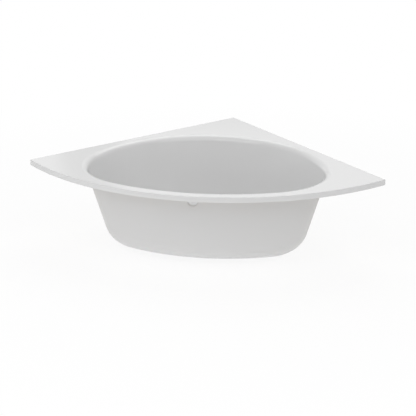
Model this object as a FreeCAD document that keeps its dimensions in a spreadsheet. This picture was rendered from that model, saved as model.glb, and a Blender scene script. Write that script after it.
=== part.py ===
import FreeCAD, Part
import math
import os
import Sketcher

# Corner bath: a formed acrylic shell with its glass-fibre backing, base board and deck stiffeners.
# Millimetres and degrees. +Z is up, +X is right as seen from the front, the front is towards -Y.
# The origin lies on the plane that the bath stands on, below the middle of its plan.

SIZES = [
    # plan and lip
    ("side_length", 1400, "wall side, from the back corner to a tip"),
    ("front_bow", 448, "how far the front edge bows out past the line between the tips"),
    ("lip_height", 31, "height of the down-turned lip"),
    ("corner_radius", 4, "upright edges of the lip"),
    ("edge_radius", 3, "top edge of the lip"),
    ("acrylic", 5, "thickness of the acrylic sheet"),
    # opening of the basin, to the sharp edge before it is rolled over
    ("front_deck", 73, "deck in front of the opening, at the middle"),
    ("side_deck", 72, "deck between the opening and a wall, where it is narrowest"),
    ("corner_deck", 386, "deck from the back corner to the opening"),
    ("front_half_angle", 24, "half the sweep of the front arc of the oval"),
    ("back_half_angle", 70, "half the sweep of the back arc of the oval"),
    ("roll_radius", 40, "rolled edge between deck and basin"),
    # basin
    ("basin_depth", 445, "deck to the edge of the floor"),
    ("wall_draft", 17, "slope of the basin wall from upright, all round"),
    ("floor_blend", 142, "radius between wall and floor"),
    ("floor_fall", 6, "fall of the floor to the waste"),
    ("recess_diameter", 88, "recess for the waste flange"),
    ("recess_depth", 4, "depth of that recess"),
    ("recess_land", 6, "level ring of floor round the recess"),
    ("waste_diameter", 52, "waste hole"),
    ("overflow_diameter", 52, "overflow hole"),
    ("overflow_depth", 59, "deck to the middle of the overflow hole"),
    # backing
    ("bond_gap", 0.3, "resin line between acrylic and laminate"),
    ("laminate", 3, "thickness of the glass-fibre laminate"),
    ("hole_clearance", 3, "laminate kept clear all round the waste recess and overflow hole"),
    # base board
    ("board_thickness", 18, "thickness of the base board"),
    ("board_setback", 32, "edge of the base board, in from the end of the floor radius"),
    ("board_hole_diameter", 120, "hole in the base board round the waste"),
    ("board_margin", 48, "wood left between that hole and the front of the base board"),
    ("overlay", 2, "laminate wrapped under and round the base board"),
    # threaded inserts for a leg frame
    ("insert_spacing_x", 480, "distance between inserts, left to right"),
    ("insert_spacing_y", 220, "distance between inserts, front to back"),
    ("insert_bore", 6.8, "bore for an M8 thread"),
    ("insert_diameter", 12, "sleeve of an insert"),
    ("insert_length", 15, "length of that sleeve"),
    ("flange_diameter", 16, "flange of an insert"),
    ("flange_thickness", 1.5, "thickness of that flange"),
    ("insert_clearance", 0.3, "play round an insert"),
    # stiffeners under the deck
    ("stiffener_thickness", 18, "thickness of battens and deck boards"),
    ("batten_width", 22, "width of a batten"),
    ("fitting_gap", 1, "joint between lip, battens and boards"),
    ("batten_end_gap", 15, "wall batten stops this far short of the tip"),
    ("tip_board_reach", 260, "legs of a tip board"),
    ("neck_clearance", 10, "boards kept clear of the rolled edge"),
]

ROOT_HALF = "sqrt(0.5)"

# Sizes that follow from the ones above.
DERIVED = [
    ("half_width", f"side_length * {ROOT_HALF}"),
    ("overall_depth", "half_width + front_bow"),
    ("back_y", "overall_depth / 2"),
    ("front_radius", "(half_width ^ 2 + front_bow ^ 2) / (2 * front_bow)"),
    ("front_centre_y", "front_radius - back_y"),
    ("tip_angle", "asin(half_width / front_radius) / 1 deg"),
    # the oval is four tangent arcs: front, back and two ends
    ("angle_sum", "tan(front_half_angle / 2) + tan(back_half_angle / 2)"),
    ("back_share", "sin(back_half_angle) * angle_sum"),
    ("rim_back_radius", f"(corner_deck * {ROOT_HALF} - side_deck) / (1 - {ROOT_HALF})"),
    ("rim_length", "overall_depth - front_deck - corner_deck"),
    ("rim_end_radius", "(rim_length - rim_back_radius * back_share) / (2 - back_share)"),
    ("rim_front_y", "front_deck - back_y"),
    # the ends turn about the same upright axes all the way down
    ("end_x", "(rim_back_radius - rim_end_radius) * sin(back_half_angle)"),
    ("end_y", "rim_front_y + rim_end_radius + end_x * tan(front_half_angle / 2)"),
    ("floor_end_radius", "rim_end_radius - basin_depth * tan(wall_draft)"),
    # the base board lies inside the flat that the floor radius leaves
    # and the floor radius leaves room for it
    ("blend_room", "(floor_end_radius - 2 * board_setback) / tan(45 - wall_draft / 2)"),
    ("blend_radius", "min(floor_blend; blend_room)"),
    ("blend_run", "blend_radius * tan(45 - wall_draft / 2)"),
    ("base_end_radius", "floor_end_radius - blend_run - board_setback"),
    ("base_front_y", "end_y - base_end_radius - end_x * tan(front_half_angle / 2)"),
    ("base_back_y", "end_y + base_end_radius + end_x * tan(back_half_angle / 2)"),
    ("waste_y", "base_front_y + board_margin + board_hole_diameter / 2"),
    ("insert_x", "insert_spacing_x / 2"),
    ("insert_front_y", "(base_front_y + base_back_y) / 2 - insert_spacing_y / 2"),
    ("insert_back_y", "insert_front_y + insert_spacing_y"),
    # levels, upwards from the plane that the bath stands on
    ("board_top", "overlay + board_thickness"),
    ("backing", "acrylic + bond_gap + laminate"),
    ("rim_level", "board_top + backing + floor_fall + basin_depth"),
    ("floor_level", "rim_level - basin_depth"),
    ("lip_level", "rim_level - lip_height"),
    ("stiffener_level", "rim_level - backing - stiffener_thickness"),
    # insets from the outline of the deck
    ("batten_outer", "acrylic + fitting_gap"),
    ("batten_inner", "batten_outer + batten_width"),
    ("board_inset", "batten_inner + fitting_gap"),
    ("batten_end", "side_length - batten_end_gap"),
    # front battens turn about the centre of the front edge
    ("joint_angle", "fitting_gap / front_radius * 180 / pi"),
    ("tip_gap_angle", "(board_inset + batten_end_gap) / front_radius * 180 / pi"),
    ("front_batten_sweep", "tip_angle - tip_gap_angle - joint_angle / 2"),
    # tip boards: one corner lies where the insets of wall and front meet
    ("tip_circle", "front_radius - board_inset"),
    ("tip_line", f"(back_y - front_centre_y) * {ROOT_HALF} - board_inset"),
    ("tip_chord", "sqrt(tip_circle ^ 2 - tip_line ^ 2)"),
    ("tip_board_x", f"(tip_line + tip_chord) * {ROOT_HALF}"),
    ("tip_board_y", f"front_centre_y + (tip_line - tip_chord) * {ROOT_HALF}"),
    ("tip_board_angle", "acos((front_centre_y - tip_board_y) / tip_circle) / 1 deg"),
    ("tip_far_angle", "tip_board_angle - tip_board_reach / tip_circle * 180 / pi"),
    # corner board: a right-angled triangle in the back corner
    ("corner_board_y", "back_y - corner_deck + roll_radius + neck_clearance"),
    ("corner_board_tip", f"back_y - board_inset / {ROOT_HALF}"),
    ("corner_board_x", "corner_board_tip - corner_board_y"),
]

FLAT = 1e-4


def fill_sheet(doc, name, rows):
    """Make a sheet with the alias, the content and a note of each row."""
    sheet = doc.addObject("Spreadsheet::Sheet", name)
    for number, (alias, content, note) in enumerate(rows, start=1):
        sheet.set(f"A{number}", alias)
        sheet.set(f"B{number}", content)
        sheet.setAlias(f"B{number}", alias)
        sheet.set(f"C{number}", note)
    return sheet


def named(formula, inside=""):
    """Write each size name in a formula with the sheet that holds it, unless it is inside it."""
    sheet_of = {alias: "Sizes." for alias, _, _ in SIZES}
    sheet_of.update({alias: "" if inside == "Derived" else "Derived." for alias, _ in DERIVED})
    text = ""
    word = ""
    for letter in formula + " ":
        if letter.isalnum() or letter == "_":
            word += letter
            continue
        text += sheet_of.get(word, "") + word + letter
        word = ""
    return text.strip()


doc = FreeCAD.newDocument("CornerBath")
fill_sheet(doc, "Sizes", [(alias, str(value), note) for alias, value, note in SIZES])
doc.recompute()
fill_sheet(doc, "Derived",
           [(alias, "=" + named(formula, "Derived"), "") for alias, formula in DERIVED])
doc.recompute()


def value(formula):
    """The number that a formula of named sizes gives."""
    result = doc.Sizes.evalExpression(named(formula))
    return float(getattr(result, "Value", result))


def bind(thing, path, formula):
    """Drive a property by a formula of named sizes."""
    thing.setExpression(path, named(formula))


# ---- sketches -------------------------------------------------------------------------------

def new_body(name):
    body = doc.addObject("PartDesign::Body", name)
    body.Label = name
    return body


def origin_plane(body, role):
    return next(item for item in body.Origin.OriginFeatures if item.Role == role)


def level_sketch(body, name, level):
    """A sketch that lies level, at a height above the plane that the bath stands on."""
    sketch = body.newObject("Sketcher::SketchObject", name)
    sketch.AttachmentSupport = [(origin_plane(body, "XY_Plane"), "")]
    sketch.MapMode = "FlatFace"
    bind(sketch, "AttachmentOffset.Base.z", level)
    return sketch


def fix(sketch, kind, refs, formula):
    """Add a dimension whose size is a formula."""
    number = sketch.addConstraint(Sketcher.Constraint(kind, *refs, value(formula)))
    bind(sketch, f"Constraints[{number}]", formula)


def radians(formula):
    return math.radians(value(formula))


def fix_angle(sketch, refs, formula):
    number = sketch.addConstraint(Sketcher.Constraint("Angle", *refs, radians(formula)))
    bind(sketch, f"Constraints[{number}]", formula)


def fix_point(sketch, geometry, point, x, y):
    """Hold a point at a place given by two formulas."""
    fix(sketch, "DistanceX", (-1, 1, geometry, point), x)
    fix(sketch, "DistanceY", (-1, 1, geometry, point), y)


def arc(x, y, radius, start, end):
    circle = Part.Circle(FreeCAD.Vector(x, y, 0), FreeCAD.Vector(0, 0, 1), radius)
    return Part.ArcOfCircle(circle, start, end)


def join(sketch, kind, *pairs):
    for first, first_end, second, second_end in pairs:
        sketch.addConstraint(Sketcher.Constraint(kind, first, first_end, second, second_end))


def oval_sketch(body, name, level, end_x, end_y, end_radius):
    """Four tangent arcs. Without end_x the four arcs lie on one circle."""
    sketch = level_sketch(body, name, level)
    x = value(end_x) if end_x else 0
    y = value(end_y)
    end = value(end_radius)
    front_half = radians("front_half_angle")
    back_half = radians("back_half_angle")
    front_extra = x / math.sin(front_half)
    back_extra = x / math.sin(back_half)
    down = -math.pi / 2
    up = math.pi / 2
    front = sketch.addGeometry(arc(0, y + front_extra * math.cos(front_half),
                                   end + front_extra, down - front_half, down + front_half))
    right = sketch.addGeometry(arc(x, y, end, down + front_half, up - back_half))
    back = sketch.addGeometry(arc(0, y - back_extra * math.cos(back_half),
                                  end + back_extra, up - back_half, up + back_half))
    left = sketch.addGeometry(arc(-x, y, end, up + back_half, 3 * up - front_half))
    join(sketch, "Tangent", (front, 2, right, 1), (right, 2, back, 1))
    join(sketch, "Coincident", (back, 2, left, 1), (left, 2, front, 1))
    for curve in (front, back):
        sketch.addConstraint(Sketcher.Constraint("Symmetric", curve, 1, curve, 2, -2))
    sketch.addConstraint(Sketcher.Constraint("Equal", left, right))
    if end_x:
        fix(sketch, "DistanceX", (-1, 1, right, 3), end_x)
    else:
        sketch.addConstraint(Sketcher.Constraint("Equal", front, right))
    fix(sketch, "DistanceY", (-1, 1, right, 3), end_y)
    fix(sketch, "Radius", (right,), end_radius)
    fix_angle(sketch, (front,), "2 * front_half_angle")
    fix_angle(sketch, (back,), "2 * back_half_angle")
    return sketch


def base_sketch(body, name, level, offset):
    """The oval of the base board, moved outwards by an offset."""
    return oval_sketch(body, name, level, "end_x", "end_y", f"base_end_radius + {offset}")


def deck_sketch(body, name, level, inset):
    """The plan of the deck, moved inwards: two wall sides and the bowed front."""
    sketch = level_sketch(body, name, level)
    inset_now = value(inset)
    half = value("half_width") - inset_now
    corner_y = value("back_y") - inset_now / math.sqrt(0.5)
    tip_y = corner_y - half
    centre_y = value("front_centre_y")
    radius = value("front_radius") - inset_now
    tip_angle = math.atan2(half, centre_y - tip_y)
    corner = FreeCAD.Vector(0, corner_y, 0)
    left_tip = FreeCAD.Vector(-half, tip_y, 0)
    right_tip = FreeCAD.Vector(half, tip_y, 0)
    left = sketch.addGeometry(Part.LineSegment(corner, left_tip))
    right = sketch.addGeometry(Part.LineSegment(right_tip, corner))
    front = sketch.addGeometry(arc(0, centre_y, radius,
                                   -math.pi / 2 - tip_angle, -math.pi / 2 + tip_angle))
    join(sketch, "Coincident", (left, 2, front, 1), (front, 2, right, 1), (right, 2, left, 1))
    fix_point(sketch, left, 1, "0", f"back_y - ({inset}) / {ROOT_HALF}")
    fix_point(sketch, front, 3, "0", "front_centre_y")
    fix(sketch, "Radius", (front,), f"front_radius - ({inset})")
    sketch.addConstraint(Sketcher.Constraint("Perpendicular", left, right))
    sketch.addConstraint(Sketcher.Constraint("Equal", left, right))
    return sketch


def circles_sketch(body, name, level, places, diameter):
    """Equal circles at places given by formulas."""
    sketch = level_sketch(body, name, level)
    for x, y in places:
        centre = FreeCAD.Vector(value(x), value(y), 0)
        circle = Part.Circle(centre, FreeCAD.Vector(0, 0, 1), value(diameter) / 2)
        number = sketch.addGeometry(circle)
        fix_point(sketch, number, 3, x, y)
        fix(sketch, "Diameter", (number,), diameter)
    return sketch


def polygon_sketch(body, name, level, corners):
    """Straight sides between corners given by formulas."""
    sketch = level_sketch(body, name, level)
    points = [FreeCAD.Vector(value(x), value(y), 0) for x, y in corners]
    sides = [sketch.addGeometry(Part.LineSegment(points[number - 1], points[number]))
             for number in range(len(points))]
    for number, (x, y) in enumerate(corners):
        following = sides[(number + 1) % len(sides)]
        join(sketch, "Coincident", (sides[number], 2, following, 1))
        fix_point(sketch, sides[number], 2, x, y)
    return sketch


# ---- features -------------------------------------------------------------------------------

def pad(body, name, sketch, height):
    feature = body.newObject("PartDesign::Pad", name)
    feature.Profile = sketch
    bind(feature, "Length", height)
    doc.recompute()
    return feature


def pocket_up(body, name, sketch, height):
    """Cut upwards from the sketch."""
    before = body.Shape.Volume
    feature = body.newObject("PartDesign::Pocket", name)
    feature.Profile = sketch
    feature.Reversed = True
    bind(feature, "Length", height)
    doc.recompute()
    if body.Shape.Volume >= before:
        raise ValueError(f"{name} cuts nothing")
    return feature


def loft(body, name, kind, upper, lower):
    """A ruled surface between two ovals, added to the body or cut from it."""
    before = body.Shape.Volume if kind == "Subtractive" else 0
    feature = body.newObject(f"PartDesign::{kind}Loft", name)
    feature.Profile = upper
    feature.Sections = [lower]
    feature.Ruled = True
    doc.recompute()
    if kind == "Subtractive" and body.Shape.Volume >= before:
        raise ValueError(f"{name} cuts nothing")
    return feature


def spans(shape, low, high):
    """Whether an edge or face reaches from one level to another and no further."""
    box = shape.BoundBox
    return abs(box.ZMin - low) < FLAT and abs(box.ZMax - high) < FLAT


def is_level(shape, level):
    return spans(shape, level, level)


def taper(body, name, column, foot, top):
    """Slope the upright sides of an oval column outwards from its foot."""
    low = value(foot)
    high = value(top)
    faces = list(enumerate(column.Shape.Faces, start=1))
    feature = body.newObject("PartDesign::Draft", name)
    feature.Base = (column, [f"Face{number}" for number, face in faces if spans(face, low, high)])
    feature.NeutralPlane = (column, [f"Face{number}" for number, face in faces
                                     if is_level(face, low)])
    feature.Reversed = column.TypeId == "PartDesign::Pad"
    bind(feature, "Angle", "wall_draft")
    doc.recompute()
    return feature


def basin_wall(body, name, make, depth, offset, top):
    """The basin down to a depth, moved outwards by an offset, padded or pocketed by make."""
    foot = f"rim_level - ({depth})"
    radius = f"rim_end_radius - ({depth}) * tan(wall_draft) + ({offset})"
    plan = oval_sketch(body, f"{name}_plan", foot, "end_x", "end_y", radius)
    column = make(body, f"{name}_column", plan, f"{top} - ({foot})")
    return taper(body, name, column, foot, top)


def rim_edges(feature, level):
    """Edges at a level that run round the basin, and not along the outline of the deck."""
    reach = value("end_x + rim_end_radius + roll_radius")
    level_now = value(level)
    return [f"Edge{number}" for number, edge in enumerate(feature.Shape.Edges, start=1)
            if is_level(edge, level_now)
            and edge.BoundBox.XMax < reach and edge.BoundBox.XMin > -reach]


def upright_edges(feature):
    return [f"Edge{number}" for number, edge in enumerate(feature.Shape.Edges, start=1)
            if edge.BoundBox.XLength < FLAT and edge.BoundBox.YLength < FLAT]


def level_edges(feature, level):
    level_now = value(level)
    return [f"Edge{number}" for number, edge in enumerate(feature.Shape.Edges, start=1)
            if is_level(edge, level_now)]


def fillet(body, name, base, edges, radius):
    if not edges:
        raise ValueError(f"{name} finds no edge")
    feature = body.newObject("PartDesign::Fillet", name)
    feature.Base = (base, edges)
    bind(feature, "Radius", radius)
    doc.recompute()
    return feature


def overflow_cut(body, diameter):
    """A round hole square to the front wall, at the overflow."""
    sketch = body.newObject("Sketcher::SketchObject", "overflow_circle")
    sketch.AttachmentSupport = [(origin_plane(body, "XZ_Plane"), "")]
    sketch.MapMode = "FlatFace"
    sketch.AttachmentOffset = FreeCAD.Placement(
        FreeCAD.Vector(0, 0, 0), FreeCAD.Rotation(FreeCAD.Vector(1, 0, 0), value("wall_draft")))
    bind(sketch, "AttachmentOffset.Base.y", "rim_level - overflow_depth")
    bind(sketch, "AttachmentOffset.Base.z", "-rim_front_y - overflow_depth * tan(wall_draft)")
    bind(sketch, "AttachmentOffset.Rotation.Angle", "wall_draft")
    centre = FreeCAD.Vector(0, 0, 0)
    circle = sketch.addGeometry(Part.Circle(centre, FreeCAD.Vector(0, 0, 1), value(diameter) / 2))
    join(sketch, "Coincident", (circle, 3, -1, 1))
    fix(sketch, "Diameter", (circle,), diameter)
    before = body.Shape.Volume
    feature = body.newObject("PartDesign::Pocket", "overflow_hole")
    feature.Profile = sketch
    feature.Midplane = True
    bind(feature, "Length", "6 * backing")
    doc.recompute()
    if body.Shape.Volume >= before:
        raise ValueError("the overflow hole cuts nothing")
    return feature


# ---- acrylic shell --------------------------------------------------------------------------

def make_acrylic_shell():
    """Deck, lip, rolled edge, tapered oval basin and falling floor, in one sheet."""
    body = new_body("acrylic_shell")
    block = pad(body, "deck_block", deck_sketch(body, "deck_plan", "lip_level", "0"), "lip_height")
    corners = fillet(body, "lip_corners", block, upright_edges(block), "corner_radius")
    fillet(body, "lip_edge", corners, level_edges(corners, "rim_level"), "edge_radius")
    pocket_up(body, "lip_hollow", deck_sketch(body, "hollow_plan", "lip_level", "acrylic"),
              "lip_height - acrylic")

    basin_wall(body, "basin_outside", pad, "basin_depth + acrylic", "acrylic",
               "rim_level - acrylic")
    inside = basin_wall(body, "basin_inside", pocket_up, "basin_depth", "0", "rim_level")
    blend = fillet(body, "floor_inside", inside, rim_edges(inside, "floor_level"), "blend_radius")
    roll = fillet(body, "rolled_edge", blend, rim_edges(blend, "rim_level"), "roll_radius")
    under = fillet(body, "floor_outside", roll, rim_edges(roll, "floor_level - acrylic"),
                   "blend_radius + acrylic")
    fillet(body, "roll_underside", under, rim_edges(under, "rim_level - acrylic"),
           "roll_radius - acrylic")

    # the flat of the floor is a shallow dish that falls to the waste
    loft(body, "dish_outside", "Additive",
         base_sketch(body, "dish_outside_edge", "floor_level - acrylic", "acrylic"),
         oval_sketch(body, "dish_outside_ring", "floor_level - acrylic - floor_fall", None,
                     "waste_y", "recess_diameter / 2 + recess_land + acrylic"))
    loft(body, "dish_inside", "Subtractive",
         base_sketch(body, "dish_inside_edge", "floor_level", "0"),
         oval_sketch(body, "dish_inside_ring", "floor_level - floor_fall", None,
                     "waste_y", "recess_diameter / 2 + recess_land"))

    # the waste recess is pressed down through the floor, with the hole in its bottom
    waste = [("0", "waste_y")]
    recess_bottom = "floor_level - floor_fall - recess_depth - acrylic"
    pad(body, "recess_outside",
        circles_sketch(body, "recess_outside_circle", recess_bottom, waste,
                       "recess_diameter + 2 * acrylic"), "recess_depth")
    pocket_up(body, "recess_inside",
              circles_sketch(body, "recess_circle", recess_bottom + " + acrylic", waste,
                             "recess_diameter"), "recess_depth")
    pocket_up(body, "waste_hole",
              circles_sketch(body, "waste_circle", recess_bottom, waste, "waste_diameter"),
              "acrylic")
    overflow_cut(body, "overflow_diameter")
    return body


# ---- laminate -------------------------------------------------------------------------------

def make_laminate_skin():
    """Glass fibre on the back of the deck and basin, with a level underside for the board."""
    body = new_body("laminate_skin")
    inner = "acrylic + bond_gap"
    pad(body, "deck_layer", deck_sketch(body, "layer_plan", "rim_level - backing", inner),
        "laminate")
    basin_wall(body, "basin_outside", pad, "basin_depth + floor_fall + backing", "backing",
               "rim_level - backing")
    inside = basin_wall(body, "basin_inside", pocket_up, f"basin_depth + {inner}", inner,
                        f"rim_level - ({inner})")
    blend = fillet(body, "floor_inside", inside, rim_edges(inside, f"floor_level - ({inner})"),
                   f"blend_radius + {inner}")
    roll = fillet(body, "rolled_edge", blend, rim_edges(blend, f"rim_level - ({inner})"),
                  f"roll_radius - ({inner})")
    under = fillet(body, "floor_outside", roll, rim_edges(roll, "board_top"),
                   "blend_radius + backing")
    fillet(body, "roll_underside", under, rim_edges(under, "rim_level - backing"),
           "roll_radius - backing")
    loft(body, "dish_inside", "Subtractive",
         base_sketch(body, "dish_edge", f"floor_level - ({inner})", inner),
         oval_sketch(body, "dish_ring", f"floor_level - floor_fall - ({inner})", None,
                     "waste_y", f"recess_diameter / 2 + recess_land + {inner}"))
    pocket_up(body, "waste_clearance",
              circles_sketch(body, "waste_clearance_circle", "board_top", [("0", "waste_y")],
                             "recess_diameter + 2 * (acrylic + hole_clearance)"),
              "laminate + floor_fall")
    overflow_cut(body, "overflow_diameter + 2 * hole_clearance")
    return body


# ---- base -----------------------------------------------------------------------------------

INSERT_PLACES = [(side + "insert_x", y)
                 for side in ("-", "") for y in ("insert_front_y", "insert_back_y")]


def make_base_board():
    """Chipboard oval under the floor, bored for the waste and for the leg inserts."""
    body = new_body("base_board")
    pad(body, "panel", base_sketch(body, "panel_plan", "overlay", "0"), "board_thickness")
    pocket_up(body, "waste_hole",
              circles_sketch(body, "waste_circle", "overlay", [("0", "waste_y")],
                             "board_hole_diameter"), "board_thickness")
    pocket_up(body, "insert_holes",
              circles_sketch(body, "insert_circles", "overlay", INSERT_PLACES,
                             "insert_diameter + 2 * insert_clearance"),
              "insert_length + insert_clearance")
    return body


def make_base_overlay():
    """Laminate tray that wraps the underside and the edge of the base board."""
    body = new_body("base_overlay")
    pad(body, "tray", base_sketch(body, "tray_plan", "0", "bond_gap + overlay"), "board_top")
    pocket_up(body, "board_seat", base_sketch(body, "seat_plan", "overlay", "bond_gap"),
              "board_thickness")
    pocket_up(body, "waste_hole",
              circles_sketch(body, "waste_circle", "0", [("0", "waste_y")],
                             "board_hole_diameter"), "overlay")
    pocket_up(body, "flange_holes",
              circles_sketch(body, "flange_circles", "0", INSERT_PLACES,
                             "flange_diameter + 2 * insert_clearance"), "overlay")
    return body


def make_leg_inserts():
    """Four threaded inserts, each with its flange against the underside of the board."""
    body = new_body("leg_inserts")
    body.AllowCompound = True
    level = "overlay - flange_thickness"
    pad(body, "flanges",
        circles_sketch(body, "flange_circles", level, INSERT_PLACES, "flange_diameter"),
        "flange_thickness")
    pad(body, "sleeves",
        circles_sketch(body, "sleeve_circles", level, INSERT_PLACES, "insert_diameter"),
        "flange_thickness + insert_length")
    pocket_up(body, "bores",
              circles_sketch(body, "bore_circles", level, INSERT_PLACES, "insert_bore"),
              "flange_thickness + insert_length")
    return body


# ---- stiffeners under the deck --------------------------------------------------------------

def wall_point(mirror, along, inset):
    """A point at a distance along a wall from the back corner, and in from its face."""
    x = f"{mirror} * (({along}) - ({inset})) * {ROOT_HALF}"
    y = f"back_y - (({along}) + ({inset})) * {ROOT_HALF}"
    return x, y


def make_wall_batten(name, mirror):
    """Straight timber along a wall side, mitred at the back corner."""
    body = new_body(name)
    mitre = [(f"{mirror} * fitting_gap / 2",
              f"back_y - {inset} / {ROOT_HALF} - fitting_gap / 2")
             for inset in ("batten_inner", "batten_outer")]
    ends = [wall_point(mirror, "batten_end", inset) for inset in ("batten_outer", "batten_inner")]
    plan = polygon_sketch(body, "batten_plan", "stiffener_level", mitre + ends)
    pad(body, "batten", plan, "stiffener_thickness")
    return body


def make_front_batten(name, mirror):
    """Curved timber behind the front lip, from the middle to near the tip."""
    body = new_body(name)
    sketch = body.newObject("Sketcher::SketchObject", "batten_section")
    sketch.AttachmentSupport = [(origin_plane(body, "XZ_Plane"), "")]
    sketch.MapMode = "FlatFace"
    near = "front_radius - batten_inner"
    far = "front_radius - batten_outer"
    top = "stiffener_level + stiffener_thickness"
    corners = [(near, "stiffener_level"), (far, "stiffener_level"), (far, top), (near, top)]
    points = [FreeCAD.Vector(value(x), value(z), 0) for x, z in corners]
    sides = [sketch.addGeometry(Part.LineSegment(points[number - 1], points[number]))
             for number in range(len(points))]
    for number, (x, z) in enumerate(corners):
        join(sketch, "Coincident", (sides[number], 2, sides[(number + 1) % len(sides)], 1))
        fix_point(sketch, sides[number], 2, x, z)
    turn = body.newObject("PartDesign::Revolution", "batten")
    turn.Profile = sketch
    turn.ReferenceAxis = (sketch, ["V_Axis"])
    bind(turn, "Angle", "front_batten_sweep")
    start = "joint_angle / 2" if mirror == "1" else "-joint_angle / 2 - front_batten_sweep"
    body.Placement = FreeCAD.Placement(
        FreeCAD.Vector(0, 0, 0), FreeCAD.Rotation(FreeCAD.Vector(0, 0, 1), value(f"{start} - 90")))
    bind(body, "Placement.Base.y", "front_centre_y")
    bind(body, "Placement.Rotation.Angle", f"{start} - 90")
    doc.recompute()
    return body


def make_tip_board(name, mirror):
    """Triangular board under the deck at a tip, sawn straight."""
    body = new_body(name)
    corners = [
        (f"{mirror} * tip_board_x", "tip_board_y"),
        (f"{mirror} * (tip_board_x - tip_board_reach * {ROOT_HALF})",
         f"tip_board_y + tip_board_reach * {ROOT_HALF}"),
        (f"{mirror} * tip_circle * sin(tip_far_angle)",
         "front_centre_y - tip_circle * cos(tip_far_angle)"),
    ]
    plan = polygon_sketch(body, "board_plan", "stiffener_level", corners)
    pad(body, "board", plan, "stiffener_thickness")
    return body


def make_corner_deck_board():
    """Triangular board under the deck in the back corner, sawn straight."""
    body = new_body("corner_deck_board")
    corners = [("0", "corner_board_tip"),
               ("-corner_board_x", "corner_board_y"),
               ("corner_board_x", "corner_board_y")]
    plan = polygon_sketch(body, "board_plan", "stiffener_level", corners)
    pad(body, "board", plan, "stiffener_thickness")
    return body


LEFT = "-1"
RIGHT = "1"

nodes = [
    make_acrylic_shell(),
    make_laminate_skin(),
    make_base_board(),
    make_base_overlay(),
    make_leg_inserts(),
    make_wall_batten("left_wall_batten", LEFT),
    make_wall_batten("right_wall_batten", RIGHT),
    make_front_batten("front_left_batten", LEFT),
    make_front_batten("front_right_batten", RIGHT),
    make_corner_deck_board(),
    make_tip_board("left_deck_board", LEFT),
    make_tip_board("right_deck_board", RIGHT),
]
doc.recompute()

for item in doc.Objects:
    if "Invalid" in item.State or "Error" in item.State:
        raise RuntimeError(f"{item.Label} of {item.getParentGeoFeatureGroup()} failed: {item.State}")
for node in nodes:
    if node.Shape.isNull() or not node.Shape.isValid() or node.Shape.Volume <= 0:
        raise RuntimeError(f"{node.Label} has no valid shape")

os.makedirs("parts", exist_ok=True)
for node in nodes:
    node.Shape.exportStep(f"parts/{node.Label}.step")
    box = node.Shape.optimalBoundingBox(False)
    print(f"{node.Label}: {len(node.Shape.Solids)} solids, {node.Shape.Volume / 1000:.1f} cm3, "
          f"x {box.XMin:.1f}..{box.XMax:.1f}, y {box.YMin:.1f}..{box.YMax:.1f}, "
          f"z {box.ZMin:.1f}..{box.ZMax:.1f}")
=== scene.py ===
import math

import bpy
import numpy as np
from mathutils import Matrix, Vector


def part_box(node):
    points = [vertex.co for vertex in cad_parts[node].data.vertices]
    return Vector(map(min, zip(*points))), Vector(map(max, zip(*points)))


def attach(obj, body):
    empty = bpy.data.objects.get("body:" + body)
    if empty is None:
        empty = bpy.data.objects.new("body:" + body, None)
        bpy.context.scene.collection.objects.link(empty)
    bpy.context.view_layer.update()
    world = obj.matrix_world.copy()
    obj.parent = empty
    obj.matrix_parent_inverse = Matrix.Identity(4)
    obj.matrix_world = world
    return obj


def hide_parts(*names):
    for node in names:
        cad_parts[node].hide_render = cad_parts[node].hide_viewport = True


# Looks of the corner bath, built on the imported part. Metres, in the part's own frame: +Z is up,
# +X is right as seen from the front, and the front is towards -Y.

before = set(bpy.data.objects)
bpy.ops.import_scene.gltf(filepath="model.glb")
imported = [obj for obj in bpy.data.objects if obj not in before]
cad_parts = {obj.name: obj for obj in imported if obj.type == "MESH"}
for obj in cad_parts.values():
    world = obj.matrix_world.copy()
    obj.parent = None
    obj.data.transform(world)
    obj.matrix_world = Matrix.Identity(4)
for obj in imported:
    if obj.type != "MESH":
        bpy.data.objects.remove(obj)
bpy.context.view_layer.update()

# ---- sizes ----------------------------------------------------------------------------------
# The level of the deck and its back are read from the frame. The rest are the part's own sizes.

MM = 0.001
_, shell_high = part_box("acrylic_shell")
rim_level = shell_high.z
corner_radius = 4 * MM
# where the two walls would meet: the rounded corner of the deck stops short of it
back_y = shell_high.y + corner_radius * (math.sqrt(2) - 1)

side_length = 1400 * MM
front_bow = 448 * MM
lip_height = 31 * MM
edge_radius = 3 * MM
acrylic = 5 * MM
bond_gap = 0.3 * MM
laminate = 3 * MM

front_deck = 73 * MM
side_deck = 72 * MM
corner_deck = 386 * MM
front_half_angle = math.radians(24)
back_half_angle = math.radians(70)
roll_radius = 40 * MM

basin_depth = 445 * MM
wall_draft = math.radians(17)
floor_blend = 142 * MM
floor_fall = 6 * MM
recess_radius = 44 * MM
recess_depth = 4 * MM
recess_land = 6 * MM
waste_radius = 26 * MM
overflow_radius = 26 * MM
overflow_depth = 59 * MM
hole_clearance = 3 * MM
board_setback = 32 * MM
board_margin = 48 * MM
board_hole_radius = 60 * MM

# small bends of the two sheets, which the solids leave sharp
trimmed_edge = 0.8 * MM
lip_foot_bend = 1.5 * MM
lip_inside_bend = 2 * MM
floor_edge_bend = 60 * MM
recess_land_bend = 20 * MM
recess_round = 2.5 * MM
recess_crease = 1 * MM
laminate_land_bend = 10 * MM
laminate_edge = 0.5 * MM

# ---- lines of the plan ----------------------------------------------------------------------

ROOT_HALF = math.sqrt(0.5)
half_width = side_length * ROOT_HALF
front_radius = (half_width ** 2 + front_bow ** 2) / (2 * front_bow)
front_centre_y = front_radius - back_y
lip_level = rim_level - lip_height

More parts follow.
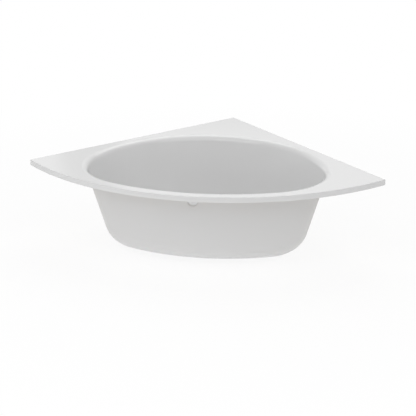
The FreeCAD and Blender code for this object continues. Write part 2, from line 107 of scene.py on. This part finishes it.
# the opening is an oval of four tangent arcs, whose ends turn about the same upright axes at
# every level
angle_sum = math.tan(front_half_angle / 2) + math.tan(back_half_angle / 2)
back_share = math.sin(back_half_angle) * angle_sum
rim_back_radius = (corner_deck * ROOT_HALF - side_deck) / (1 - ROOT_HALF)
rim_length = half_width + front_bow - front_deck - corner_deck
rim_radius = (rim_length - rim_back_radius * back_share) / (2 - back_share)
end_x = (rim_back_radius - rim_radius) * math.sin(back_half_angle)
end_y = front_deck - back_y + rim_radius + end_x * math.tan(front_half_angle / 2)

floor_level = rim_level - basin_depth
backing = acrylic + bond_gap + laminate
floor_radius = rim_radius - basin_depth * math.tan(wall_draft)
blend_run = floor_blend * math.tan(math.radians(45) - wall_draft / 2)
base_radius = floor_radius - blend_run - board_setback
base_front_y = end_y - base_radius - end_x * math.tan(front_half_angle / 2)
waste_y = base_front_y + board_margin + board_hole_radius

# ---- columns of the formed sheets -----------------------------------------------------------
# A sheet is drawn as upright sections, one for each column round the basin. A column keeps its
# direction, square to the oval, from the deck down to the waste.

COLUMNS_BACK = 104      # from the back corner to the tip, in the right half
COLUMNS_FRONT = 84      # from the tip to the middle of the front
COLUMNS_CORNER = 4      # round the right half of the back corner. The tip has twice as many
SIDE_CROWDING = 0.8     # how much closer together they stand near the ends of a stretch
FRONT_CROWDING = 0.3
OVAL_STEPS = 4000       # steps in which the length of the oval is measured
SHARPEST_CORNER = 0.2 * MM      # the corners of inner lines get no sharper than this


def oval_centres(angles):
    """Centre of the arc that each direction belongs to. The front is 0, the back a half turn."""
    turn = np.abs(angles)
    front = np.sin(front_half_angle)
    back = np.sin(back_half_angle)
    near_front = turn < math.pi / 2
    across = np.sin(turn) / np.where(near_front, front, back)
    ahead = (np.cos(front_half_angle) - np.cos(turn)) / front
    behind = -(np.cos(back_half_angle) + np.cos(turn)) / back
    x = np.sign(angles) * end_x * np.minimum(across, 1)
    y = end_y + end_x * np.where(near_front, np.minimum(ahead, 0), np.maximum(behind, 0))
    return np.stack([x, y], axis=1)


def directions(angles):
    """Unit vectors in plan: 0 points to the front, and a quarter turn to the right."""
    return np.stack([np.sin(angles), -np.cos(angles)], axis=1)


def corner_of(inset):
    """Back corner and right tip of the plan, moved in from its outline."""
    line = (back_y - front_centre_y) * ROOT_HALF - inset
    chord = math.sqrt((front_radius - inset) ** 2 - line ** 2)
    back = np.array([0, back_y - inset / ROOT_HALF])
    tip = np.array([line + chord, 0]) * ROOT_HALF
    tip[1] = front_centre_y + (line - chord) * ROOT_HALF
    return back, tip


def spread(count, start, stop, crowding=0.0):
    """Steps from start to stop: even ones, or closer together near both ends."""
    step = np.linspace(0, 1, count + 1)
    eased = step - crowding * np.sin(2 * math.pi * step) / (2 * math.pi)
    return start + (stop - start) * eased


def half_outline(inset):
    """Right half of the outline, from the back corner round the tip to the middle front."""
    radius = max(corner_radius - inset, SHARPEST_CORNER)
    back, tip = corner_of(inset + radius)
    wall_facing = math.radians(135)
    tip_front = math.atan2(tip[0], front_centre_y - tip[1])
    at_back = back + radius * directions(spread(COLUMNS_CORNER, math.pi, wall_facing))
    at_tip = tip + radius * directions(spread(2 * COLUMNS_CORNER, wall_facing, tip_front))
    side = spread(COLUMNS_BACK - 2 * COLUMNS_CORNER, 0, 1, SIDE_CROWDING)[1:-1, None]
    along_side = at_back[-1] + (at_tip[0] - at_back[-1]) * side
    sweep = spread(COLUMNS_FRONT - COLUMNS_CORNER, tip_front, 0, FRONT_CROWDING)[1:]
    along_front = [0, front_centre_y] + (front_radius - inset) * directions(sweep)
    return np.concatenate([at_back, along_side, at_tip, along_front])


def oval_angles():
    """Directions of the columns of the right half, at even steps along the oval."""
    fine = np.linspace(math.pi, 0, OVAL_STEPS + 1)
    points = oval_centres(fine) + rim_radius * directions(fine)
    _, tip = corner_of(0)
    facing = np.argmin(np.hypot(*(points - tip).T))
    length = np.concatenate([[0], np.cumsum(np.hypot(*np.diff(points, axis=0).T))])
    back_steps = np.linspace(0, length[facing], COLUMNS_BACK + 1)
    front_steps = np.linspace(length[facing], length[-1], COLUMNS_FRONT + 1)[1:]
    return np.interp(np.concatenate([back_steps, front_steps]), length, fine)


right_angles = oval_angles()
column_angles = np.concatenate([right_angles, -right_angles[-2:0:-1]])
column_centres = oval_centres(column_angles)
column_directions = directions(column_angles)


def outline(inset, level):
    """A line that runs along the outline of the deck, moved in from it."""
    right = half_outline(inset)
    left = right[-2:0:-1] * [-1, 1]
    plan = np.concatenate([right, left])
    return np.column_stack([plan, np.full(len(plan), level)])


def ring(radius, level):
    """An oval line at a level. Its ends have the given radius."""
    plan = column_centres + radius * column_directions
    return np.column_stack([plan, np.full(len(plan), level)])


def wall_ring(depth, offset, out=0.0):
    """The line of the basin wall at a depth, behind the face of the sheet by an offset."""
    return ring(rim_radius - depth * math.tan(wall_draft) + offset + out, rim_level - depth)


def waste_ring(radius, level):
    """A circle round the waste, at a level."""
    plan = np.array([0, waste_y]) + radius * column_directions
    return np.column_stack([plan, np.full(len(plan), level)])


# ---- Geometry Nodes: a formed sheet from its sections ---------------------------------------

def add(tree, kind, inputs=None, **settings):
    """Add a node with its settings. An input is a value, or the output that is linked to it."""
    node = tree.nodes.new(kind)
    for name, setting in settings.items():
        setattr(node, name, setting)
    for name, given in (inputs or {}).items():
        socket = node.inputs[name]
        if isinstance(given, bpy.types.NodeSocket):
            tree.links.new(given, socket)
        else:
            socket.default_value = given
    return node


def formed_sheet_tree():
    """Rounds each section at its corners and skins the sections into one closed sheet."""
    tree = bpy.data.node_groups.new("formed_sheet", "GeometryNodeTree")
    face = tree.interface
    face.new_socket("Sections", in_out="INPUT", socket_type="NodeSocketGeometry")
    face.new_socket("Columns", in_out="INPUT", socket_type="NodeSocketInt")
    face.new_socket("Seam distance", in_out="INPUT", socket_type="NodeSocketFloat")
    face.new_socket("Material", in_out="INPUT", socket_type="NodeSocketMaterial")
    face.new_socket("Sheet", in_out="OUTPUT", socket_type="NodeSocketGeometry")
    given = add(tree, "NodeGroupInput").outputs

    splines = add(tree, "GeometryNodeMeshToCurve", {"Mesh": given["Sections"]})
    bend = add(tree, "GeometryNodeInputNamedAttribute", {"Name": "bend"}, data_type="FLOAT")
    steps = add(tree, "GeometryNodeInputNamedAttribute", {"Name": "bend_steps"}, data_type="INT")
    rounded = add(tree, "GeometryNodeFilletCurve",
                  {"Curve": splines.outputs["Curve"], "Radius": bend.outputs["Attribute"],
                   "Count": steps.outputs["Attribute"], "Limit Radius": False}, mode="POLY")
    size = add(tree, "GeometryNodeAttributeDomainSize",
               {"Geometry": rounded.outputs["Curve"]}, component="CURVE")
    rows = add(tree, "FunctionNodeIntegerMath",
               {0: size.outputs["Point Count"], 1: given["Columns"]}, operation="DIVIDE")
    across = add(tree, "FunctionNodeIntegerMath",
                 {0: given["Columns"], 1: 1}, operation="ADD")
    along = add(tree, "FunctionNodeIntegerMath", {0: rows.outputs[0], 1: 1}, operation="ADD")
    grid = add(tree, "GeometryNodeMeshGrid",
               {"Vertices X": across.outputs[0], "Vertices Y": along.outputs[0]})

    # vertex (column, row) of the grid goes to that point of the sections, and the last column
    # and row go back to the first, which closes the sheet both ways
    index = add(tree, "GeometryNodeInputIndex")
    column = add(tree, "FunctionNodeIntegerMath",
                 {0: index.outputs[0], 1: along.outputs[0]}, operation="DIVIDE")
    row = add(tree, "FunctionNodeIntegerMath",
              {0: index.outputs[0], 1: along.outputs[0]}, operation="MODULO")
    column = add(tree, "FunctionNodeIntegerMath",
                 {0: column.outputs[0], 1: given["Columns"]}, operation="MODULO")
    row = add(tree, "FunctionNodeIntegerMath",
              {0: row.outputs[0], 1: rows.outputs[0]}, operation="MODULO")
    point = add(tree, "FunctionNodeIntegerMath",
                {0: column.outputs[0], 1: rows.outputs[0], 2: row.outputs[0]},
                operation="MULTIPLY_ADD")
    place = add(tree, "GeometryNodeInputPosition")
    sample = add(tree, "GeometryNodeSampleIndex",
                 {"Geometry": rounded.outputs["Curve"], "Value": place.outputs[0],
                  "Index": point.outputs[0]}, data_type="FLOAT_VECTOR", domain="POINT")
    moved = add(tree, "GeometryNodeSetPosition",
                {"Geometry": grid.outputs["Mesh"], "Position": sample.outputs["Value"]})
    closed = add(tree, "GeometryNodeMergeByDistance",
                 {"Geometry": moved.outputs["Geometry"], "Distance": given["Seam distance"]})
    smooth = add(tree, "GeometryNodeSetShadeSmooth", {"Geometry": closed.outputs["Geometry"]})
    real = add(tree, "GeometryNodeRealizeInstances", {"Geometry": smooth.outputs["Geometry"]})
    dressed = add(tree, "GeometryNodeSetMaterial",
                  {"Geometry": real.outputs["Geometry"], "Material": given["Material"]})
    add(tree, "NodeGroupOutput", {"Sheet": dressed.outputs["Geometry"]})
    return tree


def set_inputs(modifier, **values):
    """Set the inputs of a Geometry Nodes modifier by their names, through their identifiers."""
    for item in modifier.node_group.interface.items_tree:
        if item.in_out == "INPUT" and item.name.replace(" ", "_") in values:
            modifier[item.identifier] = values[item.name.replace(" ", "_")]


def link(name, data):
    """A new object in the scene, from its mesh, lamp or camera."""
    piece = bpy.data.objects.new(name, data)
    bpy.context.scene.collection.objects.link(piece)
    return piece


def made_plain(piece):
    """The piece's evaluated shape as a plain mesh, with its modifiers gone."""
    bpy.context.view_layer.update()
    graph = bpy.context.evaluated_depsgraph_get()
    mesh = bpy.data.meshes.new_from_object(piece.evaluated_get(graph), depsgraph=graph)
    piece.modifiers.clear()
    piece.data = mesh
    mesh.name = piece.name
    return piece


SEAM = 0.02 * MM        # the two sides of the closing seam lie closer together than this


def formed_sheet(name, section, material):
    """A closed sheet. Each row of its section is a line, the radius of its bend and its steps."""
    lines = np.stack([line for line, _, _ in section], axis=1)
    columns, rows, _ = lines.shape
    first = np.arange(columns)[:, None] * rows
    along = np.arange(rows)
    edges = np.stack([first + along, first + (along + 1) % rows], axis=2)
    cage = bpy.data.meshes.new(name)
    cage.from_pydata(lines.reshape(-1, 3).tolist(), edges.reshape(-1, 2).tolist(), [])
    bends = cage.attributes.new("bend", "FLOAT", "POINT")
    bends.data.foreach_set("value", [radius for _, radius, _ in section] * columns)
    steps = cage.attributes.new("bend_steps", "INT", "POINT")
    steps.data.foreach_set("value", [count for _, _, count in section] * columns)
    piece = link(name, cage)
    modifier = piece.modifiers.new("formed_sheet", "NODES")
    modifier.node_group = sheet_tree
    set_inputs(modifier, Columns=columns, Seam_distance=SEAM, Material=material)
    return made_plain(piece)


def cover(mesh, material):
    """Give every face of a mesh the one material."""
    mesh.materials.clear()
    mesh.materials.append(material)


DRILL_SIDES = 64
DRILL_REACH = 3 * backing
SHARP_ANGLE = math.radians(40)


def bore(piece, radius, material):
    """A round hole through the front wall at the overflow, square to the wall."""
    depth = overflow_depth
    place = Vector((0, front_deck - back_y + depth * math.tan(wall_draft), rim_level - depth))
    axis = Vector((0, -math.cos(wall_draft), -math.sin(wall_draft)))
    turn = Vector((0, 0, 1)).rotation_difference(axis)
    count = DRILL_SIDES
    angles = np.linspace(0, 2 * math.pi, count + 1)[:-1]
    points = [place + turn @ Vector((radius * math.cos(angle), radius * math.sin(angle), height))
              for height in (-DRILL_REACH, DRILL_REACH) for angle in angles]
    sides = [(k, (k + 1) % count, count + (k + 1) % count, count + k) for k in range(count)]
    caps = [tuple(range(count - 1, -1, -1)), tuple(range(count, 2 * count))]
    tool_mesh = bpy.data.meshes.new("overflow_drill")
    tool_mesh.from_pydata(points, [], sides + caps)
    tool_mesh.update()
    tool = link("overflow_drill", tool_mesh)
    cut = piece.modifiers.new("overflow_hole", "BOOLEAN")
    cut.operation = "DIFFERENCE"
    cut.solver = "EXACT"
    cut.object = tool
    made_plain(piece)
    bpy.data.objects.remove(tool)
    # the faces that the drill leaves come without a material
    cover(piece.data, material)
    piece.data.set_sharp_from_angle(angle=SHARP_ANGLE)
    return piece


sheet_tree = formed_sheet_tree()

# ---- materials ------------------------------------------------------------------------------

def colour(text):
    """Linear colour of an sRGB hex value."""
    parts = [int(text[place:place + 2], 16) / 255 for place in (0, 2, 4)]
    return [part / 12.92 if part <= 0.04045 else ((part + 0.055) / 1.055) ** 2.4
            for part in parts] + [1.0]


def new_material(name):
    """An empty material and its node tree."""
    material = bpy.data.materials.new(name)
    material.use_nodes = True
    material.node_tree.nodes.clear()
    return material, material.node_tree


def make_acrylic():
    """Cast acrylic, vacuum formed: an opaque white with a deep even gloss. The hot sheet cools
    on the mould, which leaves it very slightly wavy."""
    material, tree = new_material("cast_acrylic_vacuum_formed")
    place = add(tree, "ShaderNodeTexCoord").outputs["Object"]
    # waves of 60 mm, and much lower ones of 9 mm that break up the edge of a reflection
    waves = add(tree, "ShaderNodeTexNoise",
                {"Vector": place, "Scale": 1 / (60 * MM), "Detail": 1.0})
    ripple = add(tree, "ShaderNodeTexNoise",
                 {"Vector": place, "Scale": 1 / (9 * MM), "Detail": 1.0})
    ripple_height = 0.04
    mixed = add(tree, "ShaderNodeMath",
                {0: ripple.outputs[0], 1: ripple_height, 2: waves.outputs[0]},
                operation="MULTIPLY_ADD")
    relief = add(tree, "ShaderNodeBump",
                 {"Height": mixed.outputs[0], "Strength": 0.6, "Distance": 0.12 * MM})
    shader = add(tree, "ShaderNodeBsdfPrincipled",
                 {"Base Color": colour("DADADA"), "Roughness": 0.16, "IOR": 1.49,
                  "Normal": relief.outputs["Normal"]})
    add(tree, "ShaderNodeOutputMaterial", {"Surface": shader.outputs["BSDF"]})
    return material


def make_topcoat():
    """Glass-fibre laminate, sprayed and rolled, with a white topcoat: a satin skin in which the
    chopped strands and the ridges of the roller still show faintly."""
    material, tree = new_material("glass_fibre_laminate_topcoated")
    place = add(tree, "ShaderNodeTexCoord").outputs["Object"]
    # chopped strands are 30 mm long and under 1 mm wide: they are drawn as swirled clumps of
    # 12 mm, because single ones are too fine to show, with the 4 mm ridges of the roller
    bent = add(tree, "ShaderNodeTexNoise",
               {"Vector": place, "Scale": 1 / (50 * MM), "Detail": 2.0})
    swirl = add(tree, "ShaderNodeVectorMath",
                {0: bent.outputs["Color"], "Scale": 30 * MM}, operation="SCALE")
    moved = add(tree, "ShaderNodeVectorMath", {0: place, 1: swirl.outputs["Vector"]})
    strands = add(tree, "ShaderNodeTexVoronoi",
                  {"Vector": moved.outputs["Vector"], "Scale": 1 / (12 * MM)}, feature="F1")
    ridges = add(tree, "ShaderNodeTexNoise",
                 {"Vector": place, "Scale": 1 / (4 * MM), "Detail": 2.0})
    strand_height = 0.6
    mixed = add(tree, "ShaderNodeMath",
                {0: strands.outputs["Distance"], 1: strand_height, 2: ridges.outputs[0]},
                operation="MULTIPLY_ADD")
    relief = add(tree, "ShaderNodeBump",
                 {"Height": mixed.outputs[0], "Strength": 0.25, "Distance": 0.15 * MM})
    shader = add(tree, "ShaderNodeBsdfPrincipled",
                 {"Base Color": colour("CFCFCF"), "Roughness": 0.55, "IOR": 1.5,
                  "Normal": relief.outputs["Normal"]})
    add(tree, "ShaderNodeOutputMaterial", {"Surface": shader.outputs["BSDF"]})
    return material


def make_chipboard():
    """Chipboard, pressed and sawn: wood flakes of about 4 mm, from pale to dark, set in glue."""
    material, tree = new_material("chipboard_pressed")
    place = add(tree, "ShaderNodeTexCoord").outputs["Object"]
    flakes = add(tree, "ShaderNodeTexVoronoi", {"Vector": place, "Scale": 1 / (4 * MM)},
                 feature="F1")
    tint = add(tree, "ShaderNodeValToRGB", {"Fac": flakes.outputs["Color"]})
    tint.color_ramp.elements[0].color = colour("A88A5E")
    tint.color_ramp.elements[1].color = colour("D9BF93")
    relief = add(tree, "ShaderNodeBump", {"Height": flakes.outputs["Distance"],
                                          "Strength": 0.4, "Distance": 0.3 * MM})
    shader = add(tree, "ShaderNodeBsdfPrincipled",
                 {"Base Color": tint.outputs["Color"], "Roughness": 0.75,
                  "Normal": relief.outputs["Normal"]})
    add(tree, "ShaderNodeOutputMaterial", {"Surface": shader.outputs["BSDF"]})
    return material


def make_softwood():
    """Spruce, planed: yellow grain with darker late wood every few millimetres."""
    material, tree = new_material("spruce_planed")
    place = add(tree, "ShaderNodeTexCoord").outputs["Object"]
    drift = add(tree, "ShaderNodeTexNoise",
                {"Vector": place, "Scale": 1 / (120 * MM), "Detail": 3.0})
    # the noise climbs from 0 to 1 in about 60 mm, and a ring comes every 3 mm
    climb = 60 * MM
    ring_gap = 3 * MM
    rings = add(tree, "ShaderNodeMath", {0: drift.outputs[0], 1: climb / ring_gap},
                operation="MULTIPLY")
    wave = add(tree, "ShaderNodeMath", {0: rings.outputs[0]}, operation="FRACT")
    tint = add(tree, "ShaderNodeValToRGB", {"Fac": wave.outputs[0]})
    tint.color_ramp.elements[0].color = colour("E3C793")
    tint.color_ramp.elements[1].color = colour("C79F63")
    shader = add(tree, "ShaderNodeBsdfPrincipled",
                 {"Base Color": tint.outputs["Color"], "Roughness": 0.6})
    add(tree, "ShaderNodeOutputMaterial", {"Surface": shader.outputs["BSDF"]})
    return material


def make_zinc_steel():
    """Mild steel, turned and zinc plated: a cool metal, slightly clouded every 6 mm or so."""
    material, tree = new_material("steel_zinc_plated")
    place = add(tree, "ShaderNodeTexCoord").outputs["Object"]
    cloud = add(tree, "ShaderNodeTexNoise",
                {"Vector": place, "Scale": 1 / (6 * MM), "Detail": 3.0})
    rough = add(tree, "ShaderNodeMapRange", {"Value": cloud.outputs[0], "To Min": 0.28,
                                             "To Max": 0.45})
    shader = add(tree, "ShaderNodeBsdfPrincipled",
                 {"Base Color": colour("C9CBCC"), "Metallic": 1.0,
                  "Roughness": rough.outputs["Result"]})
    add(tree, "ShaderNodeOutputMaterial", {"Surface": shader.outputs["BSDF"]})
    return material


acrylic_white = make_acrylic()
topcoat = make_topcoat()
chipboard = make_chipboard()
softwood = make_softwood()
zinc_steel = make_zinc_steel()

# ---- acrylic shell and laminate -------------------------------------------------------------

SUPPORT = 1.5 * MM      # a line this far past a bend keeps the flat beside it truly flat
SMALL_BEND_STEPS = 4
LIP_BEND_STEPS = 8
WALL_BEND_STEPS = 18
wall_turn = math.radians(90) - wall_draft


def straight(line):
    """A line that the sheet passes without a bend, in one step."""
    return line, 0, 1


def small_bend(line, radius):
    """A line that the sheet bends at, with a radius of a few millimetres or a slight turn."""
    return line, radius, SMALL_BEND_STEPS


def bend_reach(radius):
    """How far a bend between the wall and a level face reaches along each of them."""
    return radius * math.tan(wall_turn / 2) + SUPPORT


def wall_lines(upper_depth, lower_depth, offset, upper_bend, lower_bend):
    """Deck side, rolled edge, wall, floor radius and floor side of one face of a sheet."""
    upper = bend_reach(upper_bend)
    lower = bend_reach(lower_bend)
    drop = math.cos(wall_draft)
    return [
        straight(wall_ring(upper_depth, offset, upper)),
        (wall_ring(upper_depth, offset), upper_bend, WALL_BEND_STEPS),
        straight(wall_ring(upper_depth + upper * drop, offset)),
        straight(wall_ring(lower_depth - lower * drop, offset)),
        (wall_ring(lower_depth, offset), lower_bend, WALL_BEND_STEPS),
        straight(wall_ring(lower_depth, offset, -lower)),
    ]


def make_shell():
    """Deck, lip, rolled edge, basin, falling floor and waste recess, front and back faces."""
    floor = floor_level - floor_fall
    recess = floor - recess_depth
    land_radius = recess_radius + recess_land
    face = [
        small_bend(outline(0, lip_level), lip_foot_bend),
        straight(outline(0, lip_level + 2 * SUPPORT)),
        straight(outline(0, rim_level - edge_radius - SUPPORT)),
        (outline(0, rim_level), edge_radius, LIP_BEND_STEPS),
        straight(outline(edge_radius + SUPPORT, rim_level)),
    ]
    face += wall_lines(0, basin_depth, 0, roll_radius, floor_blend)
    face += [
        small_bend(ring(base_radius, floor_level), floor_edge_bend),
        small_bend(waste_ring(land_radius, floor), recess_land_bend),
        small_bend(waste_ring(recess_radius, floor), recess_round),
        small_bend(waste_ring(recess_radius, recess), recess_crease),
        small_bend(waste_ring(waste_radius, recess), trimmed_edge),
    ]
    back = [
        small_bend(outline(acrylic, lip_level), trimmed_edge),
        small_bend(outline(acrylic, rim_level - acrylic), lip_inside_bend),
    ]
    back += wall_lines(acrylic, basin_depth + acrylic, acrylic,
                       roll_radius - acrylic, floor_blend + acrylic)
    back += [
        small_bend(ring(base_radius + acrylic, floor_level - acrylic), floor_edge_bend),
        small_bend(waste_ring(land_radius + acrylic, floor - acrylic), recess_land_bend),
        small_bend(waste_ring(recess_radius + acrylic, floor - acrylic), recess_crease),
        small_bend(waste_ring(recess_radius + acrylic, recess - acrylic), recess_round),
        small_bend(waste_ring(waste_radius, recess - acrylic), trimmed_edge),
    ]
    piece = formed_sheet("formed_shell", face + back[::-1], acrylic_white)
    return bore(piece, overflow_radius, acrylic_white)


def make_backing():
    """Glass fibre over the back of the shell, with a level underside for the base board."""
    inner = acrylic + bond_gap
    floor = floor_level - floor_fall
    land_radius = recess_radius + recess_land
    hole = recess_radius + acrylic + hole_clearance
    face = [straight(outline(inner, rim_level - inner))]
    face += wall_lines(inner, basin_depth + inner, inner,
                       roll_radius - inner, floor_blend + inner)
    face += [
        small_bend(ring(base_radius + inner, floor_level - inner), floor_edge_bend),
        small_bend(waste_ring(land_radius + inner, floor - inner), laminate_land_bend),
        small_bend(waste_ring(hole, floor - inner), laminate_edge),
    ]
    back = [straight(outline(inner, rim_level - backing))]
    back += wall_lines(backing, basin_depth + floor_fall + backing, backing,
                       roll_radius - backing, floor_blend + backing)
    back += [small_bend(waste_ring(hole, floor - backing), laminate_edge)]
    piece = formed_sheet("laminate_backing", face + back[::-1], topcoat)
    return bore(piece, overflow_radius + hole_clearance, topcoat)


def stand_for(piece, node):
    """The piece is shown in place of a node of the part."""
    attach(piece, "root")
    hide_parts(node)


stand_for(make_shell(), "acrylic_shell")
stand_for(make_backing(), "laminate_skin")

# ---- pieces that keep the part's own mesh ---------------------------------------------------

FINISHES = {
    "base_board": chipboard,
    "base_overlay": topcoat,
    "leg_inserts": zinc_steel,
    "left_wall_batten": softwood,
    "right_wall_batten": softwood,
    "front_left_batten": softwood,
    "front_right_batten": softwood,
    "corner_deck_board": chipboard,
    "left_deck_board": chipboard,
    "right_deck_board": chipboard,
}
for node, finish in FINISHES.items():
    cover(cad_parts[node].data, finish)

# ---- floor, light and camera ----------------------------------------------------------------

# Beside the bath the paper gives this share of its white itself. The lamps light the rest, which
# holds the shadow. Between the two distances from the middle of the bath, in metres, the paper
# passes over into an even white.
PAPER_GLOW = 0.88
FADE_START = 1.2
FADE_END = 2.8
FLOOR_REACH = 40.0


def seen_directly(tree):
    """1 for the camera and for a reflection, 0 for the light that falls on the bath."""
    rays = add(tree, "ShaderNodeLightPath").outputs
    return add(tree, "ShaderNodeMath",
               {0: rays["Is Camera Ray"], 1: rays["Is Glossy Ray"]},
               operation="MAXIMUM").outputs[0]


def make_floor():
    """A white sweep that the camera sees as paper white, with the shadow of the bath on it.
    Seen from below it is clear, so that the underside of the bath shows."""
    material, tree = new_material("white_paper")
    seen = seen_directly(tree)
    paper = add(tree, "ShaderNodeBsdfDiffuse", {"Color": colour("FFFFFF")})
    glow = add(tree, "ShaderNodeEmission", {"Color": colour("FFFFFF"), "Strength": 1.0})
    place = add(tree, "ShaderNodeTexCoord").outputs["Object"]
    away = add(tree, "ShaderNodeVectorMath", {0: place}, operation="LENGTH")
    bright = add(tree, "ShaderNodeMapRange",
                 {"Value": away.outputs["Value"], "From Min": FADE_START, "From Max": FADE_END,
                  "To Min": PAPER_GLOW, "To Max": 1.0}, interpolation_type="SMOOTHSTEP")
    share = add(tree, "ShaderNodeMath", {0: seen, 1: bright.outputs["Result"]},
                operation="MULTIPLY")
    mixed = add(tree, "ShaderNodeMixShader",
                {0: share.outputs[0], 1: paper.outputs["BSDF"], 2: glow.outputs["Emission"]})
    below = add(tree, "ShaderNodeNewGeometry").outputs["Backfacing"]
    clear = add(tree, "ShaderNodeBsdfTransparent")
    sided = add(tree, "ShaderNodeMixShader",
                {0: below, 1: mixed.outputs["Shader"], 2: clear.outputs["BSDF"]})
    add(tree, "ShaderNodeOutputMaterial", {"Surface": sided.outputs["Shader"]})
    corners = [(x * FLOOR_REACH, y * FLOOR_REACH, 0)
               for x, y in ((-1, -1), (1, -1), (1, 1), (-1, 1))]
    mesh = bpy.data.meshes.new("floor")
    mesh.from_pydata(corners, [], [(0, 1, 2, 3)])
    mesh.materials.append(material)
    link("floor", mesh)


def make_world(strength):
    """Even white surroundings. The camera and reflections see them as white."""
    world = bpy.data.worlds.new("white_room")
    bpy.context.scene.world = world
    world.use_nodes = True
    tree = world.node_tree
    tree.nodes.clear()
    seen = add(tree, "ShaderNodeMath", {0: seen_directly(tree), 1: 1 - strength, 2: strength},
               operation="MULTIPLY_ADD")
    back = add(tree, "ShaderNodeBackground", {"Color": colour("FFFFFF"),
                                              "Strength": seen.outputs[0]})
    add(tree, "ShaderNodeOutputWorld", {"Surface": back.outputs["Background"]})


def towards(turn, rise):
    """Unit vector at degrees round from the front, to the right, and degrees up."""
    turn = math.radians(turn)
    rise = math.radians(rise)
    return Vector((math.sin(turn) * math.cos(rise), -math.cos(turn) * math.cos(rise),
                   math.sin(rise)))


def soft_light(name, place, aim, width, height, power, mirrored=False):
    """A lamp that the camera doesn't see, and that only shows in the gloss if it is mirrored."""
    lamp = bpy.data.lights.new(name, "AREA")
    lamp.shape = "RECTANGLE"
    lamp.size = width
    lamp.size_y = height
    lamp.energy = power
    piece = link(name, lamp)
    piece.location = place
    piece.rotation_euler = (Vector(aim) - Vector(place)).to_track_quat("-Z", "Y").to_euler()
    piece.visible_camera = False
    piece.visible_glossy = mirrored


def make_camera():
    """The viewing angle, distance and lens that the plan and the outline give."""
    back = towards(turn=10, rise=20)
    distance = 8802.7 * MM
    aim_right = 124.9 * MM
    aim_before_corner = 1597.4 * MM
    focal_pixels = 1712.1
    frame_pixels = 416
    camera = bpy.data.cameras.new("camera")
    camera.sensor_width = 36
    camera.lens = focal_pixels / frame_pixels * camera.sensor_width
    camera.clip_end = 200
    piece = link("camera", camera)
    piece.location = Vector((aim_right, back_y - aim_before_corner, rim_level)) + back * distance
    piece.rotation_euler = (-back).to_track_quat("-Z", "Y").to_euler()
    bpy.context.scene.camera = piece


WORLD_LIGHT = 0.18
LIT_POINT = Vector((0, -0.2, 0.35))
BOX_DISTANCE = 4.5
BOX_WIDTH = 3.0
# degrees round from the front, degrees up, watts, and whether the gloss mirrors it
SOFT_BOXES = {
    "front_left_high": (-30, 47, 54, True),
    "front_right_high": (30, 47, 42, True),
    "behind_high": (180, 60, 69, True),
    "behind": (180, 35, 15, True),
    "behind_left": (-135, 22, 15, True),
    # seen from across the bath, the deck would mirror these two as a white glare
    "left": (-90, 22, 28, False),
    "right": (90, 22, 40, False),
}

make_floor()
make_world(WORLD_LIGHT)
for name, (around, rise, power, mirrored) in SOFT_BOXES.items():
    place = LIT_POINT + towards(around, rise) * BOX_DISTANCE
    soft_light(name, place, LIT_POINT, BOX_WIDTH, BOX_WIDTH, power, mirrored)
soft_light("front_low", (-1.53, -4.4, 0.82), LIT_POINT, width=2.4, height=1.0, power=21)
# light that the floor throws back up at the outside of the basin
soft_light("light_table", (0, -0.3, 3 * MM), (0, -0.3, 1), width=2.6, height=2.0, power=5.2)
make_camera()
bpy.context.scene.view_settings.view_transform = "Standard"
